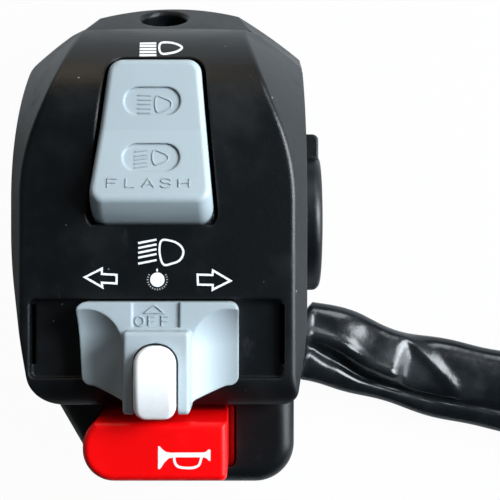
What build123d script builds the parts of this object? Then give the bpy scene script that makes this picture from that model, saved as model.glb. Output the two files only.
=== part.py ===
from build123d import *
import os
from math import cos, radians, sin, tan

os.makedirs("parts", exist_ok=True)

# A left hand switch housing for a 22.2 mm handlebar, lying on its back.
# The handlebar runs along X through the origin, Y points to the top of the housing
# and Z points out of its front face. The two shells part at z = 0.

# General clearances
overrun = 1.0
seat_gap = 0.3
pin_clearance = 0.05
thread_clearance = 0.15

# Handlebar and collar
bar_radius = 11.1
collar_wall = 1.8
collar_length = 3.2
collar_round = 1.5
lug_width = 3.4
lug_length = 2.8
lug_height = 5.0
lug_base_y = 12.8
lug_round = 1.2

# Housing outline, seen from the front
half_width = 25.6
top_middle_y = 36.3
top_corner_inset = 8.0
top_corner_x = half_width - top_corner_inset
top_corner_y = 35.0
shoulder_y = 29.0
taper_start_y = -7.0
sill_y = -31.8
sill_left_inset = 4.3
sill_right_inset = 2.0
sill_left_x = sill_left_inset - half_width
sill_right_x = half_width - sill_right_inset
right_taper_y = -20.0
top_corner_round = 2.0
shoulder_round = 2.5
side_round = 60.0
top_round = 120.0
sill_left_round = 6.0
sill_right_round = 3.0
foot_y = -46.8
foot_left_inset = 15.1
step_left_inset = 6.4
foot_left_x = foot_left_inset - half_width
step_left_x = step_left_inset - half_width
step_top_y = -26.0
foot_left_round = 5.0
foot_right_round = 7.0
step_round = 2.0
step_top_round = 0.5

# Front shell
front_face_z = 24.0
foot_face_z = 14.5
foot_edge_round = 3.0
shell_wall = 2.2
brow_flat_y = 15.5
brow_mid_y = 21.8
brow_mid_z = 22.9
brow_low_y = 26.8
brow_low_z = 19.8
brow_foot_mid_y = 33.2
brow_foot_mid_z = 11.6
brow_foot_y = 36.6
brow_limit_y = 40.0
sill_flat_y = -26.5
sill_mid_y = -31.3
sill_mid_z = 21.9
sill_low_y = -33.0
sill_low_z = 17.0
bevel_radius = 40.6
bevel_tilt_deg = 29.2
bevel_overhang = 7.7
bevel_axis_x = bevel_radius - half_width - bevel_overhang
bevel_axis_y = 3.2
bevel_axis_z = -4.6
crease_round = 1.0

# Rear shell
back_z = -17.0
dome_slope_deg = 29.0
dome_center_x = 0.45
dome_center_y = 7.3
dome_side = 10.2
dome_radius = half_width + dome_side
dome_depth = 13.0
back_round = 2.0
saddle_thickness = 2.0
saddle_x = 13.0
top_hole_radius = 4.35
top_hole_x = -1.1
top_hole_down = 6.9
top_hole_depth = 10.0
top_hole_mouth = 0.6
top_hole_wall = 2.6

# Housing screws and inserts
screw_inset = 6.1
screw_top_y = 20.0
screw_left_inset = 7.6
screw_left_y = -27.2
screw_foot_inset = 8.0
screw_foot_y = -38.4
screw_places = [
    (screw_inset - half_width, screw_top_y),
    (half_width - screw_inset, screw_top_y),
    (screw_left_inset - half_width, screw_left_y),
    (half_width - screw_foot_inset, screw_foot_y),
]
screw_radius = 2.0
screw_head_radius = 2.9
screw_head_height = 2.4
screw_recess_depth = 4.0
screw_reach = 6.0
screw_hole_clearance = 0.2
front_boss_radius = 3.4
rear_boss_radius = 4.6
insert_radius = 2.7
insert_length = 6.5

# Rocker key
rocker_pivot_y = 13.0
rocker_pivot_z = 18.5
rocker_end_radius = 14.6
rocker_center_x = -0.7
rocker_lean = 0.23
rocker_top_half = 7.6
rocker_bottom_half = 10.68
rocker_rest_deg = -7.0
rocker_fold_y = 1.0
rocker_fold_z = 6.8
rocker_fold_top_deg = 1.6
rocker_fold_bottom_deg = 11.4
rocker_skirt_z = -0.5
rocker_corner_round = 2.4
rocker_edge_round = 1.1
rocker_wall = 1.8
rocker_roof = 2.6
rocker_window_gap = 0.8
rocker_end_gap = 0.5
rocker_lug_radius = 2.6
pill_length = 9.6
pill_width = 4.9
pill_depth = 0.35
pill_upper_y = 6.1
pill_lower_y = -3.8
pill_center_x = -0.1
rocker_pin_radius = 1.0
pin_ear_thickness = 2.0
pin_ear_gap = 0.4
pin_ear_radius = 2.6

# Dimmer switch under the rocker
plunger_y = 9.0
push_rib_width = 3.0
plunger_stem_radius = 1.2
plunger_head_half = 2.1
plunger_head_height = 1.4
dimmer_half = 8.0
dimmer_depth = 10.0
dimmer_top_z = 14.0
dimmer_height = 10.0
dimmer_lid = 1.4
dimmer_cell_half = 5.4
dimmer_cell_depth = 4.8
dimmer_cap_thickness = 1.2
dimmer_ear_x = 12.9
dimmer_ear_thickness = 1.6
dimmer_ear_half = 2.3
dimmer_spring_length = 3.0
bridge_half = 4.8
bridge_width = 3.0
bridge_thickness = 0.5
dimmer_pin_x = 4.0
dimmer_pin_radius = 0.7
dimmer_pin_tail = 2.5

# Passing contacts under the lower end of the rocker
leaf_boss_y = -6.5
leaf_half = 3.0
leaf_back_y = -9.0
leaf_tip_y = 2.4
leaf_top_z = 15.8
leaf_thickness = 0.4
leaf_spacer_thickness = 0.9
leaf_boss_radius = 2.4

# Turn knob and its recess
recess_inset = 4.0
recess_half = half_width - recess_inset
recess_top_y = -13.6
recess_bottom_y = -27.0
recess_depth = 2.0
recess_floor = 1.8
recess_round = 1.0
recess_end_slot = 0.7
knob_center_x = 0.5
knob_center_y = -20.4
knob_travel = 4.0
knob_left_x = -13.2
knob_right_x = 13.8
knob_top_y = -13.95
knob_low_left_x = -12.4
knob_low_y = -27.9
knob_wing_y = -28.0
knob_side_y = -30.4
knob_foot_y = -31.9
knob_strip_z = 28.3
knob_block_z = 33.0
knob_block_left_x = -4.9
knob_block_right_x = 6.0
knob_block_top_y = -18.5
knob_corner_round = 1.6
knob_flare = 5.7
knob_flare_round = 2.0
knob_cove_round = 1.2
knob_edge_round = 0.7
scoop_radius = 8.4
scoop_height = 34.0
scoop_inset = 1.6
scoop_end_y = -21.2
notch_left_x = -3.8
notch_right_x = 4.1
notch_low_y = -18.1
notch_depth = 0.45
knob_stem_half = 3.0
knob_stem_depth = 6.8
shield_overlap = 1.2
shield_thickness = 1.2
carrier_half = 8.0
carrier_depth = 8.2
carrier_height = 7.1
carrier_screw_y = 1.8
carrier_screw_radius = 1.0
carrier_head_radius = 1.9
carrier_head_height = 1.3
wiper_half = 7.0
wiper_width = 3.2
wiper_thickness = 0.4
detent_x = 5.7
detent_ball_radius = 1.2
detent_spring_length = 3.2
turn_board_half = 14.5
turn_board_top_y = -13.4
turn_board_bottom_y = -28.4
turn_board_thickness = 1.6
turn_boss_x = 12.4
turn_boss_y = -12.6
turn_boss_low_y = -28.2
turn_boss_radius = 2.0
turn_pad_radius = 1.3
turn_pad_pitch = 5.5
turn_pad_height = 0.7
turn_tail_radius = 0.6
turn_tail_length = 2.0

# Cancel button
cancel_left_x = -2.95
cancel_right_x = 3.8
cancel_top_y = -20.7
cancel_foot_y = -32.5
cancel_z = 36.0
cancel_height = 6.5
cancel_travel = 2.2
cancel_dome = 1.6
cancel_corner_round = 2.0
cancel_top_round = 3.0
cancel_stem_radius = 1.2
cancel_stem_y = -1.9
cancel_stem_length = 12.3
cancel_spring_depth = 3.4

# Horn button
horn_left_x = -12.0
horn_right_x = 11.9
horn_top_y = -32.6
horn_slope = 1.2
horn_foot_y = -43.5
horn_z = 29.0
horn_left_round = 5.2
horn_right_round = 1.0
horn_edge_round = 1.2
horn_wall = 1.8
horn_roof = 3.0
horn_travel = 3.0
horn_window_gap = 0.35
horn_window_right_gap = 1.3
horn_flange = 1.0
horn_flange_thickness = 1.5
horn_post_radius = 3.2
horn_post_z = 13.0
horn_center_x = 0.9
horn_center_y = -38.0
horn_bridge_half = 5.4
horn_bridge_width = 3.6
horn_bridge_thickness = 0.6
horn_stud_x = 4.0
horn_stud_radius = 1.0
horn_stud_tail = 1.4
horn_base_half = 10.0
horn_base_top_y = -32.8
horn_base_bottom_y = -43.0
horn_base_z = 3.8
horn_base_thickness = 1.6
horn_base_post_x = 7.6
horn_base_post_radius = 2.3
foot_wall = 1.6

# Small self tapping screws and springs
small_screw_radius = 1.0
small_head_radius = 1.9
small_head_height = 1.3
small_screw_reach = 5.0
dimmer_spring_wire = 0.25
dimmer_spring_turns = 3
dimmer_spring_radius = 1.5
cancel_spring_wire = 0.3
cancel_spring_turns = 4
cancel_spring_radius = 1.7
detent_spring_wire = 0.2
detent_spring_turns = 6
detent_spring_radius = 0.85
horn_spring_wire = 0.45
horn_spring_turns = 6
horn_spring_radius = 2.1

# Harness: sleeve, clamp, wires and plug
sleeve_radius = 5.25
bend_share = 0.45
sleeve_inset = 9.6
sleeve_straight = 2.9
outlet_gap = 0.45
outlet_y = -23.0
outlet_z = -9.0
clamp_inset = 7.6
clamp_x = half_width - clamp_inset
clamp_width = 3.0
clamp_thickness = 0.8
clamp_gap = 0.1
clamp_foot_drop = 2.5
clamp_foot_reach = 4.4
cradle_half = 3.0
parting_gap = 0.2
wire_radius = 0.9
wire_pitch = 2.6
wire_length = 32.0
plug_length = 24.0
plug_width = 13.0
plug_height = 10.5
pin_hole_half = 1.0
plug_pin_radius = 0.7
plug_pin_length = 9.0
plug_pin_depth = 6.0
latch_width = 4.0
latch_length = 9.0
latch_height = 1.2

# The harness leaves to the right, lies on the table and loops back
sleeve_route = [
    (half_width - sleeve_inset, outlet_y, outlet_z),
    (half_width + sleeve_straight, -23.3, -9.2),
    (42.5, -28.4, -11.5),
    (62.5, -33.1, -11.75),
    (92.0, -38.5, -11.75),
    (124.0, -37.0, -11.75),
    (153.0, -24.0, -11.75),
    (172.0, 2.0, -11.75),
    (176.0, 34.0, -11.75),
    (162.0, 62.0, -11.75),
    (136.0, 79.0, -11.75),
    (106.0, 83.0, -11.75),
]


def box(x0, x1, y0, y1, z0, z1):
    size = Box(abs(x1 - x0), abs(y1 - y0), abs(z1 - z0))
    return Pos((x0 + x1) / 2, (y0 + y1) / 2, (z0 + z1) / 2) * size


def post(x, y, radius, z0, z1):
    return Pos(x, y, (z0 + z1) / 2) * Cylinder(radius, abs(z1 - z0))


def rod(radius, start, end):
    start = Vector(start)
    line = Vector(end) - start
    low = (Align.CENTER, Align.CENTER, Align.MIN)
    return Plane(origin=start, z_dir=line) * Cylinder(radius, line.length, align=low)


def along_x(radius, x0, x1, y, z):
    return rod(radius, (min(x0, x1), y, z), (max(x0, x1), y, z))


def prism(points, radii, z0, z1):
    outline = FilletPolyline(*points, radius=radii, close=True)
    return Pos(0, 0, z0) * extrude(make_face(outline), amount=z1 - z0)


def coil(x, y, z0, z1, radius, wire, turns):
    low = z0 + wire / 2
    rise = z1 - z0 - wire
    path = Pos(x, y, low) * Helix(rise / turns, rise, radius)
    section = Plane(origin=path @ 0, z_dir=path % 0) * Circle(wire / 2)
    return sweep(section, path=path, is_frenet=True)


def group(shapes):
    return Compound(children=list(shapes))


def save(name, shape):
    export_step(shape, f"parts/{name}.step")


# Outer form of the main housing, or of its hollow when it is drawn in by an inset
def main_outline(inset):
    points = [
        (-top_corner_x, top_corner_y),
        (-half_width, shoulder_y),
        (-half_width, taper_start_y),
        (sill_left_x, sill_y),
        (sill_right_x, sill_y),
        (half_width, right_taper_y),
        (half_width, shoulder_y),
        (top_corner_x, top_corner_y),
        (0, top_middle_y),
    ]
    radii = [
        top_corner_round,
        shoulder_round,
        side_round,
        sill_left_round,
        sill_right_round,
        side_round,
        shoulder_round,
        top_corner_round,
        top_round,
    ]
    face = make_face(FilletPolyline(*points, radius=radii, close=True))
    if inset:
        face = offset(face, -inset, kind=Kind.INTERSECTION)
    return face


def foot_outline(inset):
    points = [
        (step_left_x, step_top_y),
        (step_left_x, sill_y),
        (foot_left_x, foot_y),
        (sill_right_x, foot_y),
        (sill_right_x, step_top_y),
    ]
    radii = [step_top_round, step_round, foot_left_round, foot_right_round, step_top_round]
    face = make_face(FilletPolyline(*points, radius=radii, close=True))
    if inset:
        face = offset(face, -inset, kind=Kind.INTERSECTION)
    return face


def side_profile(inset):
    brow = ThreePointArc((brow_flat_y, front_face_z), (brow_mid_y, brow_mid_z), (brow_low_y, brow_low_z))
    foot = ThreePointArc((brow_low_y, brow_low_z), (brow_foot_mid_y, brow_foot_mid_z), (brow_foot_y, 0))
    sill = ThreePointArc((sill_low_y, sill_low_z), (sill_mid_y, sill_mid_z), (sill_flat_y, front_face_z))
    below = -overrun - inset
    lines = [
        Line((brow_foot_y, 0), (brow_foot_y, below)),
        Line((brow_foot_y, below), (sill_low_y, below)),
        Line((sill_low_y, below), (sill_low_y, sill_low_z)),
        Line((sill_flat_y, front_face_z), (brow_flat_y, front_face_z)),
    ]
    face = make_face([brow, foot, sill, *lines])
    if inset:
        face = offset(face, -inset, kind=Kind.INTERSECTION)
    return Plane.YZ * face


def shoulder_cut(side, inset):
    tilt = radians(bevel_tilt_deg)
    axis = Vector(-side * sin(tilt), 0, cos(tilt))
    center = (-side * bevel_axis_x, bevel_axis_y, bevel_axis_z)
    plane = Plane(origin=center, x_dir=(0, 1, 0), z_dir=axis)
    reach = 5 * bevel_radius
    inner = bevel_radius - inset
    kept = plane * Cylinder(inner, reach)
    kept += plane * (Pos(-bevel_radius, 0, 0) * Box(2 * bevel_radius, 2 * inner, reach))
    outer_x = half_width + overrun
    whole = box(side * crease_round, side * outer_x, foot_y, brow_limit_y + overrun, 0, front_face_z + overrun)
    return whole - kept


def is_crease(edge):
    room = edge.bounding_box()
    inside = abs(edge.center().X) < half_width - pin_clearance
    return inside and room.min.Z > crease_round / 2 and room.size.Y > 2 * crease_round


def front_form(inset):
    block = extrude(side_profile(inset), amount=half_width - inset, both=True)
    for side in (-1, 1):
        block -= shoulder_cut(side, inset)
    if inset:
        return block
    return fillet([edge for edge in block.edges() if is_crease(edge)], crease_round)


def rocker_half(y, gap):
    top_y = rocker_pivot_y + rocker_end_radius
    low_y = rocker_pivot_y - rocker_end_radius
    share = (y - low_y) / (top_y - low_y)
    return rocker_bottom_half + (rocker_top_half - rocker_bottom_half) * share + gap


# Places that several pieces share
inner_z = front_face_z - shell_wall
floor_z = front_face_z - recess_depth
floor_under_z = floor_z - recess_floor
rear_floor_z = back_z + shell_wall
collar_radius = bar_radius + collar_wall
collar_x = half_width + collar_length
dome_slope = radians(dome_slope_deg)
hole_out = Vector(0, cos(dome_slope), sin(dome_slope))
hole_mouth = Vector(top_hole_x, top_middle_y, 0) + Vector(0, sin(dome_slope), -cos(dome_slope)) * (
    top_hole_down / cos(dome_slope)
)
slot_half = knob_stem_half + knob_travel + seat_gap
stem_half_y = carrier_depth / 2 - 2 * seat_gap
shield_half = slot_half + knob_travel + seat_gap
shield_z = floor_under_z - seat_gap
shield_low_z = shield_z - shield_thickness
carrier_low_z = shield_low_z - carrier_height
wiper_low_z = carrier_low_z - wiper_thickness
turn_board_z = wiper_low_z - seat_gap - turn_pad_height
foot_inner_z = foot_face_z - foot_wall
horn_low_z = foot_inner_z - seat_gap - horn_flange_thickness


plunger_place_y = rocker_pivot_y + plunger_y
dimmer_ear_z = dimmer_top_z - seat_gap
pin_ear_x = rocker_half(rocker_pivot_y, rocker_window_gap) + pin_ear_gap
clamp_foot_z = outlet_z - clamp_foot_drop
clamp_screw_reach = sleeve_radius + clamp_gap + clamp_thickness + clamp_foot_reach / 2
small_screw_seats = [
    (-dimmer_ear_x, plunger_place_y, dimmer_ear_z),
    (dimmer_ear_x, plunger_place_y, dimmer_ear_z),
    (-turn_boss_x, turn_boss_y, turn_board_z),
    (turn_boss_x, turn_boss_low_y, turn_board_z),
    (rocker_center_x, leaf_boss_y, leaf_top_z),
]


# The rocker and its window are both a trapezoid between ends that run round the pin
def rocker_prism(side_gap, end_gap, corner, z0, z1):
    radius = rocker_end_radius + end_gap
    top_y = rocker_pivot_y + radius
    low_y = rocker_pivot_y - radius
    top = rocker_half(top_y, side_gap)
    low = rocker_half(low_y, side_gap)
    top_x = rocker_center_x + rocker_lean
    low_x = rocker_center_x - rocker_lean
    corners = [(top_x - top, top_y), (low_x - low, low_y), (low_x + low, low_y), (top_x + top, top_y)]
    reach = 2 * half_width
    ends = along_x(radius, -reach, reach, rocker_pivot_y, rocker_pivot_z)
    if corner:
        return prism(corners, [corner] * 4, z0, z1) & ends
    return Pos(0, 0, z0) * extrude(make_face(Polyline(*corners, close=True)), amount=z1 - z0) & ends


def collar():
    ring = along_x(collar_radius, half_width - shell_wall, collar_x, 0, 0)
    return fillet(ring.edges().sort_by(Axis.X)[-1], collar_round)


def front_shell():
    main = front_form(0) & extrude(main_outline(0), amount=front_face_z + overrun)
    foot = extrude(foot_outline(0), amount=foot_face_z)
    foot = fillet(foot.faces().sort_by(Axis.Z)[-1].edges(), foot_edge_round)
    outer = main + foot
    outer += collar() & box(0, collar_x, -collar_radius, collar_radius, 0, collar_radius)
    lug_x = collar_x - (collar_length - lug_length)
    lug = box(half_width - shell_wall, lug_x, lug_base_y - shell_wall, lug_base_y + lug_width, 0, lug_height)
    outer += fillet(lug.edges().filter_by(Axis.Z).sort_by(Axis.Y)[-2:].sort_by(Axis.X)[-1], lug_round)
    hollow = front_form(shell_wall) & (
        Pos(0, 0, -overrun) * extrude(main_outline(shell_wall), amount=front_face_z + overrun)
    )
    hollow -= box(
        -recess_half - shell_wall,
        recess_half + shell_wall,
        recess_bottom_y - shell_wall,
        recess_top_y + shell_wall,
        floor_under_z,
        front_face_z,
    )
    hollow += Pos(0, 0, -overrun) * extrude(foot_outline(foot_wall), amount=foot_inner_z + overrun)
    shell = outer - hollow
    bosses = [post(x, y, front_boss_radius, 0, front_face_z) for x, y in screw_places]
    for x in (-turn_boss_x, turn_boss_x):
        for y in (turn_boss_y, turn_boss_low_y):
            bosses.append(post(x, y, turn_boss_radius, turn_board_z, floor_under_z + overrun))
    for x in (-dimmer_ear_x, dimmer_ear_x):
        bosses.append(post(x, plunger_place_y, dimmer_ear_half, dimmer_ear_z, inner_z + overrun))
    bosses.append(post(rocker_center_x, leaf_boss_y, leaf_boss_radius, leaf_top_z, inner_z + overrun))
    for side in (-1, 1):
        bosses.append(pin_ear(side))
    ribs = Part() + bosses
    shell += ribs & (outer - box(-half_width, half_width, foot_y, brow_limit_y, -overrun, 0))
    shell -= recess_cut()
    shell -= rocker_prism(rocker_window_gap, rocker_end_gap, rocker_corner_round + rocker_window_gap,
                          rocker_pivot_z - rocker_lug_radius, front_face_z + overrun)
    shell -= horn_outline(horn_window_gap, horn_window_right_gap, horn_low_z - horn_travel - seat_gap,
                          foot_face_z + overrun / 2)
    shell -= along_x(bar_radius, -half_width - overrun, collar_x + overrun, 0, 0)
    for x, y in screw_places:
        shell -= post(x, y, insert_radius, -overrun, insert_length)
        shell -= post(x, y, screw_radius + screw_hole_clearance, 0, insert_length + screw_reach / 2)
    for x, y, z in small_screw_seats:
        shell -= post(x, y, small_screw_radius, z, z + small_screw_reach)
    ear_x = pin_ear_x + pin_ear_thickness
    shell -= along_x(
        rocker_pin_radius + pin_clearance,
        rocker_center_x - ear_x - overrun,
        rocker_center_x + ear_x + overrun,
        rocker_pivot_y,
        rocker_pivot_z,
    )
    return shell


def pin_ear(side):
    near = rocker_center_x + side * pin_ear_x
    far = near + side * pin_ear_thickness
    ear = box(near, far, rocker_pivot_y - pin_ear_radius, rocker_pivot_y + pin_ear_radius,
              rocker_pivot_z, inner_z + overrun)
    return ear + along_x(pin_ear_radius, near, far, rocker_pivot_y, rocker_pivot_z)


def recess_cut():
    corners = [
        (-recess_half, recess_top_y),
        (-recess_half, recess_bottom_y),
        (recess_half, recess_bottom_y),
        (recess_half, recess_top_y),
    ]
    cut = prism(corners, [recess_round] * 4, floor_z, front_face_z + overrun)
    middle = knob_center_x
    cut += box(middle - slot_half, middle + slot_half, knob_center_y - stem_half_y - seat_gap,
               knob_center_y + stem_half_y + seat_gap, floor_under_z - overrun, floor_z + overrun)
    for side in (-1, 1):
        outer = side * recess_half
        inner = outer - side * recess_end_slot
        cut += box(outer, inner, recess_bottom_y + shell_wall, recess_top_y - recess_round,
                   floor_under_z - overrun, floor_z + overrun)
    return cut


def horn_outline(gap, right_gap, z0, z1):
    top = horn_top_y + gap
    foot = horn_foot_y - gap
    left = horn_left_x - gap
    right = horn_right_x + right_gap
    corners = [(left, top), (left, foot), (right, foot), (right, top)]
    left_round = horn_left_round + gap
    right_round = max(horn_right_round + gap, horn_right_round / 2)
    return prism(corners, [left_round, left_round, right_round, right_round], z0, z1)


# Outer form of the rear shell, or of its hollow
def rear_form(inset):
    depth = -back_z - inset
    start = -depth
    main = Pos(0, 0, start) * extrude(main_outline(inset), amount=depth)
    foot = Pos(0, 0, start) * extrude(foot_outline(inset), amount=depth)
    if inset:
        return main + foot
    return soft_back(main) + soft_back(foot)


def soft_back(solid):
    return fillet(solid.faces().sort_by(Axis.Z)[0].edges(), back_round)


def dome_form():
    disc = Pos(dome_center_x, dome_center_y, back_z / 2) * Cylinder(dome_radius, -back_z)
    disc &= box(-half_width, half_width, bevel_axis_y, brow_limit_y + dome_depth, back_z, 0)
    disc = soft_back(disc)
    lean = dome_slope / 2
    planes = [((0, top_middle_y, 0), (0, cos(dome_slope), sin(dome_slope)))]
    run = Vector(half_width - top_corner_x, shoulder_y - top_corner_y, 0).normalized()
    for side in (1, -1):
        flat = Vector(-side * run.Y, run.X, 0)
        normal = Vector(flat.X * cos(lean), flat.Y * cos(lean), sin(lean))
        planes.append(((side * top_corner_x, top_corner_y, 0), normal))
    for place, normal in planes:
        disc = split(disc, bisect_by=Plane(origin=place, z_dir=normal), keep=Keep.BOTTOM)
    return disc


def rear_shell():
    outer = rear_form(0) + dome_form()
    outer += collar() & box(0, collar_x, -collar_radius, collar_radius, -collar_radius, 0)
    hollow = rear_form(shell_wall)
    ribs = Part()
    for x in (-saddle_x, saddle_x):
        ribs += box(x - saddle_thickness / 2, x + saddle_thickness / 2, -collar_radius - shell_wall,
                    collar_radius + shell_wall, rear_floor_z - overrun, 0)
    for x, y in screw_places:
        ribs += post(x, y, rear_boss_radius, rear_floor_z - overrun, 0)
    for side in (-1, 1):
        ribs += post(horn_center_x + side * horn_base_post_x, horn_center_y, horn_base_post_radius,
                     rear_floor_z - overrun, 0)
        ribs += post(clamp_x, outlet_y + side * clamp_screw_reach, horn_base_post_radius,
                     rear_floor_z - overrun, clamp_foot_z)
    ribs += box(clamp_x - clamp_width / 2, clamp_x + clamp_width / 2, outlet_y - cradle_half,
                outlet_y + cradle_half, rear_floor_z - overrun, outlet_z - sleeve_radius / 2)
    boss_end = hole_mouth - hole_out * (top_hole_depth + top_hole_wall)
    ribs += rod(top_hole_radius + top_hole_wall, boss_end, hole_mouth)
    shell = outer - (hollow - ribs)
    for side in (-1, 1):
        x = horn_center_x + side * horn_base_post_x
        shell += post(x, horn_center_y, horn_base_post_radius, -overrun, horn_base_z - horn_base_thickness)
        shell -= post(x, horn_center_y, small_screw_radius, horn_base_z - small_screw_reach, horn_base_z)
        y = outlet_y + side * clamp_screw_reach
        shell -= post(clamp_x, y, small_screw_radius, clamp_foot_z + clamp_thickness - small_screw_reach,
                      clamp_foot_z + clamp_thickness)
    seam = box(-half_width - overrun, half_width + dome_depth, foot_y - overrun,
               brow_limit_y + dome_depth, -parting_gap, overrun)
    for side in (-1, 1):
        x = horn_center_x + side * horn_base_post_x
        seam -= post(x, horn_center_y, horn_base_post_radius + overrun, -overrun, 2 * overrun)
    shell -= seam
    shell -= along_x(bar_radius, -half_width - overrun, collar_x + overrun, 0, 0)
    shell -= along_x(sleeve_radius + outlet_gap, sleeve_route[0][0] + overrun, half_width + overrun,
                     outlet_y, outlet_z)
    shell -= along_x(sleeve_radius + pin_clearance, clamp_x - clamp_width, clamp_x + clamp_width,
                     outlet_y, outlet_z)
    shell -= rod(top_hole_radius, hole_mouth - hole_out * top_hole_depth, hole_mouth + hole_out * overrun)
    mouth = top_hole_radius + top_hole_mouth
    low = (Align.CENTER, Align.CENTER, Align.MIN)
    lip = Plane(origin=hole_mouth - hole_out * top_hole_mouth, z_dir=hole_out)
    shell -= lip * Cone(top_hole_radius, mouth + top_hole_mouth, 2 * top_hole_mouth, align=low)
    for x, y in screw_places:
        shell -= post(x, y, screw_radius + screw_hole_clearance, back_z - overrun, overrun)
        shell -= post(x, y, screw_head_radius + seat_gap, back_z - overrun, back_z + screw_recess_depth)
    return shell


def small_screw(x, y, seat_z, upward):
    side = 1 if upward else -1
    head = post(x, y, small_head_radius, seat_z - side * small_head_height, seat_z)
    return head + post(x, y, small_screw_radius - pin_clearance, seat_z,
                       seat_z + side * (small_screw_reach - seat_gap))


def housing_screw(x, y):
    seat = back_z + screw_recess_depth
    head = post(x, y, screw_head_radius, seat - screw_head_height, seat)
    socket_radius = screw_radius / 2
    screw = head + post(x, y, screw_radius, seat, screw_reach)
    return screw - post(x, y, socket_radius, seat - screw_head_height - overrun, seat - socket_radius)


def insert(x, y):
    body = post(x, y, insert_radius, 0, insert_length)
    return body - post(x, y, screw_radius + pin_clearance, -overrun, insert_length + overrun)


# Rocker, drawn level and then tilted to the photographed position
def tilt_rocker(shape):
    lift = Pos(0, rocker_pivot_y, rocker_pivot_z)
    return lift * Rot(rocker_rest_deg, 0, 0) * lift.inverse() * shape


def rocker_key():
    skirt_z = rocker_pivot_z + rocker_skirt_z
    top_z = rocker_pivot_z + rocker_end_radius
    fold_z = rocker_pivot_z + rocker_fold_z
    body = rocker_prism(0, 0, 0, skirt_z, top_z)
    halves = []
    for lean in (rocker_fold_top_deg, rocker_fold_bottom_deg):
        normal = (0, sin(radians(lean)), cos(radians(lean)))
        fold = Plane(origin=(0, rocker_pivot_y + rocker_fold_y, fold_z), z_dir=normal)
        halves.append(split(body, bisect_by=fold, keep=Keep.BOTTOM))
    key = halves[0] + halves[1]
    key = fillet([edge for edge in key.edges() if is_end_corner(edge)], rocker_corner_round)
    key = fillet([edge for edge in key.edges() if is_rim(edge, fold_z)], rocker_edge_round)
    lowered = Pos(0, 0, -pill_depth) * key
    for y in (pill_upper_y, pill_lower_y):
        pill = Pos(rocker_center_x + pill_center_x, rocker_pivot_y + y, 0) * SlotOverall(pill_length, pill_width)
        key -= extrude(pill, amount=top_z) - lowered
    roof_z = fold_z - rocker_roof
    corner = rocker_corner_round - rocker_wall / 2
    key -= rocker_prism(-rocker_wall, -rocker_wall, corner, skirt_z - overrun, roof_z)
    half = rocker_half(rocker_pivot_y, 0)
    for side in (-1, 1):
        outer = rocker_center_x + side * (half - seat_gap)
        inner = rocker_center_x + side * (half - rocker_wall)
        key += along_x(rocker_lug_radius, inner, outer, rocker_pivot_y, rocker_pivot_z)
    rib = push_rib_width / 2
    key += box(rocker_center_x - push_rib_width, rocker_center_x + push_rib_width,
               plunger_place_y - rib, plunger_place_y + rib, skirt_z, roof_z + overrun)
    reach = half + overrun
    key -= along_x(rocker_pin_radius + pin_clearance, rocker_center_x - reach, rocker_center_x + reach,
                   rocker_pivot_y, rocker_pivot_z)
    return tilt_rocker(key)


def is_end_corner(edge):
    room = edge.bounding_box().size
    at_end = abs(edge.center().Y - rocker_pivot_y) > rocker_end_radius / 2
    return at_end and room.Z > rocker_corner_round and room.X < rocker_corner_round / 2


def is_rim(edge, fold_z):
    room = edge.bounding_box()
    near_fold = abs(edge.center().Y - rocker_pivot_y - rocker_fold_y) < rocker_fold_y
    is_fold = room.size.X > rocker_top_half and near_fold
    return room.min.Z > fold_z - rocker_edge_round and not is_fold


def rocker_pin():
    reach = pin_ear_x + pin_ear_thickness
    return along_x(rocker_pin_radius, rocker_center_x - reach, rocker_center_x + reach,
                   rocker_pivot_y, rocker_pivot_z)


# The rib over the plunger, seen at the photographed tilt
rib_rest_z = rocker_pivot_z + plunger_y * sin(radians(rocker_rest_deg)) + (
    rocker_skirt_z * cos(radians(rocker_rest_deg))
)
plunger_top_z = rib_rest_z - seat_gap
cap_top_z = dimmer_top_z - dimmer_height + dimmer_cap_thickness
plunger_low_z = cap_top_z + dimmer_spring_length
plunger_neck_z = plunger_low_z + plunger_head_height


def dimmer_block():
    low_y = plunger_place_y - dimmer_depth / 2
    high_y = plunger_place_y + dimmer_depth / 2
    low_z = dimmer_top_z - dimmer_height
    block = box(-dimmer_half, dimmer_half, low_y, high_y, low_z, dimmer_top_z)
    ear = dimmer_ear_x + dimmer_ear_half
    block += box(-ear, ear, plunger_place_y - dimmer_ear_half, plunger_place_y + dimmer_ear_half,
                 dimmer_ear_z - dimmer_ear_thickness, dimmer_ear_z)
    cell_y = dimmer_cell_depth / 2
    block -= box(-dimmer_cell_half, dimmer_cell_half, plunger_place_y - cell_y, plunger_place_y + cell_y,
                 low_z - overrun, dimmer_top_z - dimmer_lid)
    block -= post(0, plunger_place_y, plunger_stem_radius + pin_clearance, low_z, dimmer_top_z + overrun)
    for side in (-1, 1):
        block -= post(side * dimmer_ear_x, plunger_place_y, small_screw_radius + pin_clearance,
                      low_z, dimmer_top_z + overrun)
    return block


def dimmer_cap():
    half = dimmer_cell_half - pin_clearance
    cell_y = dimmer_cell_depth / 2 - pin_clearance
    cap = box(-half, half, plunger_place_y - cell_y, plunger_place_y + cell_y,
              cap_top_z - dimmer_cap_thickness, cap_top_z)
    for side in (-1, 1):
        cap -= post(side * dimmer_pin_x, plunger_place_y, dimmer_pin_radius + pin_clearance,
                    cap_top_z - 2 * dimmer_cap_thickness, cap_top_z + overrun)
    return cap


def dimmer_pins():
    low = cap_top_z - dimmer_cap_thickness - dimmer_pin_tail
    high = plunger_neck_z - seat_gap
    return group(
        post(side * dimmer_pin_x, plunger_place_y, dimmer_pin_radius, low, high) for side in (-1, 1)
    )


def dimmer_plunger():
    head = box(-plunger_head_half, plunger_head_half, plunger_place_y - plunger_head_half,
               plunger_place_y + plunger_head_half, plunger_low_z, plunger_neck_z)
    return head + post(0, plunger_place_y, plunger_stem_radius, plunger_neck_z, plunger_top_z)


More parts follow.
